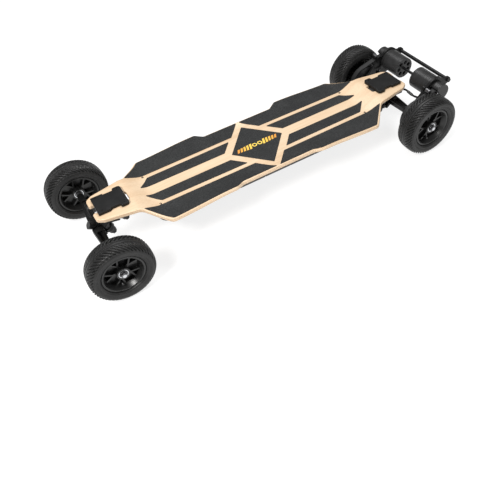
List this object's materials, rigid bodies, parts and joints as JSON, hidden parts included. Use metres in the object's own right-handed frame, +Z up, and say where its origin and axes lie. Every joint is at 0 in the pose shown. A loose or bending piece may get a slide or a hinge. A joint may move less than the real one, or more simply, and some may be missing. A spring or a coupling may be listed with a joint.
{
  "type": "electric skateboard",
  "caption": "All-terrain electric longboard: drop-through wooden deck, sealed battery enclosure, sprung double-kingpin trucks, belt-driven rear wheels on pneumatic tyres.",
  "frame": {"origin": "centre of the ground rectangle that the board covers, on the ground under the tyres", "axes": "+X to the nose, +Y to the rider's left, +Z up"},
  "size_m": [1.1898, 0.4052, 0.1778],
  "materials": {
    "deck_wood": "clear satin lacquer over pale ply",
    "grip": "gritty matt",
    "enclosure_plastic": "satin moulded",
    "gasket_foam": "matt",
    "black_metal": "satin black anodised",
    "steel": "bright zinc",
    "black_steel": "black oxide",
    "heat_sink": "black anodised",
    "urethane": "satin urethane",
    "cells": "heat-shrink",
    "tyre": "matt rubber",
    "rim_plastic": "satin moulded nylon",
    "belt_rubber": "matt",
    "cable_rubber": "satin",
    "pulley_metal": "black anodised",
    "bare_aluminium": "machined",
    "button": "satin"
  },
  "bodies": {
    "deck": {"deck_board": "deck_wood", "grip_tape": "grip", "enclosure_shell": "enclosure_plastic", "enclosure_gasket": "gasket_foam", "enclosure_screws": "black_steel", "heat_sink_plate": "heat_sink", "battery_pack": "cells", "motor_controller": "heat_sink", "charge_socket": "button", "cable_channels": "enclosure_plastic", "front_baseplate": "black_metal", "rear_baseplate": "black_metal", "front_base_bushings": "urethane", "rear_base_bushings": "urethane", "base_kingpins": "black_steel", "base_pivot_cups": "urethane", "truck_bolts": "black_steel", "motor_leads": "cable_rubber"},
    "power_button": {"power_button": "button"},
    "charge_cap": {"charge_cap": "button"},
    "front_cradle": {"front_cradle": "black_metal", "front_hanger_kingpin": "black_steel", "front_hanger_bushings": "urethane", "front_hanger_pivot_cup": "urethane"},
    "front_hanger": {"front_hanger": "black_metal", "front_axles": "steel", "front_axle_nuts": "steel"},
    "rear_cradle": {"rear_cradle": "black_metal", "rear_hanger_kingpin": "black_steel", "rear_hanger_bushings": "urethane", "rear_hanger_pivot_cup": "urethane"},
    "rear_hanger": {"rear_hanger": "black_metal", "rear_axles": "steel", "rear_axle_nuts": "steel", "motor_mounts": "black_metal", "mount_bolts": "black_steel", "belt_covers": "enclosure_plastic", "drive_belts": "belt_rubber", "tie_rods": "black_steel", "motor_stators": "black_metal"},
    "front_left_wheel": {"front_left_tyre": "tyre", "front_left_rim": "rim_plastic", "front_left_bearings": "steel"},
    "front_right_wheel": {"front_right_tyre": "tyre", "front_right_rim": "rim_plastic", "front_right_bearings": "steel"},
    "rear_left_wheel": {"rear_left_tyre": "tyre", "rear_left_rim": "rim_plastic", "rear_left_bearings": "steel", "left_wheel_pulley": "pulley_metal"},
    "rear_right_wheel": {"rear_right_tyre": "tyre", "rear_right_rim": "rim_plastic", "rear_right_bearings": "steel", "right_wheel_pulley": "pulley_metal"},
    "left_rotor": {"left_motor_rotor": "black_metal", "left_motor_pinion": "bare_aluminium"},
    "left_idler": {"left_belt_idler": "bare_aluminium"},
    "right_rotor": {"right_motor_rotor": "black_metal", "right_motor_pinion": "bare_aluminium"},
    "right_idler": {"right_belt_idler": "bare_aluminium"}
  },
  "joints": [
    {"name": "front_base_steer", "type": "hinge", "parent": "deck", "child": "front_cradle", "pos_m": [0.4347, 0, 0.0976], "axis": [0.8192, 0, 0.5736], "range_deg": [-11, 11], "stiffness_Nm_per_rad": 80, "deforming": ["front_base_bushings"]},
    {"name": "front_hanger_steer", "type": "hinge", "parent": "front_cradle", "child": "front_hanger", "pos_m": [0.4797, 0, 0.0706], "axis": [0.8192, 0, 0.5736], "range_deg": [-11, 11], "stiffness_Nm_per_rad": 80, "deforming": ["front_hanger_bushings"]},
    {"name": "rear_base_steer", "type": "hinge", "parent": "deck", "child": "rear_cradle", "pos_m": [-0.3894, 0, 0.0976], "axis": [-0.8192, 0, 0.5736], "range_deg": [-11, 11], "stiffness_Nm_per_rad": 80, "deforming": ["rear_base_bushings", "motor_leads"]},
    {"name": "rear_hanger_steer", "type": "hinge", "parent": "rear_cradle", "child": "rear_hanger", "pos_m": [-0.4344, 0, 0.0706], "axis": [-0.8192, 0, 0.5736], "range_deg": [-11, 11], "stiffness_Nm_per_rad": 80, "deforming": ["rear_hanger_bushings"]},
    {"name": "front_left_spin", "type": "hinge", "parent": "front_hanger", "child": "front_left_wheel", "pos_m": [0.5069, 0.172, 0.0875], "axis": [0, 1, 0], "continuous": true},
    {"name": "front_right_spin", "type": "hinge", "parent": "front_hanger", "child": "front_right_wheel", "pos_m": [0.5069, -0.172, 0.0875], "axis": [0, 1, 0], "continuous": true},
    {"name": "rear_left_spin", "type": "hinge", "parent": "rear_hanger", "child": "rear_left_wheel", "pos_m": [-0.4616, 0.172, 0.0875], "axis": [0, 1, 0], "continuous": true},
    {"name": "rear_right_spin", "type": "hinge", "parent": "rear_hanger", "child": "rear_right_wheel", "pos_m": [-0.4616, -0.172, 0.0875], "axis": [0, 1, 0], "continuous": true},
    {"name": "left_motor_spin", "type": "hinge", "parent": "rear_hanger", "child": "left_rotor", "pos_m": [-0.5396, 0.1, 0.1428], "axis": [0, 1, 0], "continuous": true},
    {"name": "left_idler_spin", "type": "hinge", "parent": "rear_hanger", "child": "left_idler", "pos_m": [-0.50003, 0.1215, 0.15606], "axis": [0, 1, 0], "continuous": true},
    {"name": "right_motor_spin", "type": "hinge", "parent": "rear_hanger", "child": "right_rotor", "pos_m": [-0.5396, -0.1, 0.1428], "axis": [0, 1, 0], "continuous": true},
    {"name": "right_idler_spin", "type": "hinge", "parent": "rear_hanger", "child": "right_idler", "pos_m": [-0.50003, -0.1215, 0.15606], "axis": [0, 1, 0], "continuous": true},
    {"name": "power_button_press", "type": "slide", "parent": "deck", "child": "power_button", "axis": [0, 1, 0], "range_m": [0, 0.0012], "stiffness_N_per_m": 300},
    {"name": "charge_cap_hinge", "type": "hinge", "parent": "deck", "child": "charge_cap", "pos_m": [-0.2516, -0.0926, 0.0883], "axis": [1, 0, 0], "range_deg": [0, 110]}
  ],
  "couplings": [
    {"joint": "left_motor_spin", "follows": "rear_left_spin", "ratio": 4},
    {"joint": "left_idler_spin", "follows": "rear_left_spin", "ratio": -7.5},
    {"joint": "right_motor_spin", "follows": "rear_right_spin", "ratio": 4},
    {"joint": "right_idler_spin", "follows": "rear_right_spin", "ratio": -7.5}
  ]
}
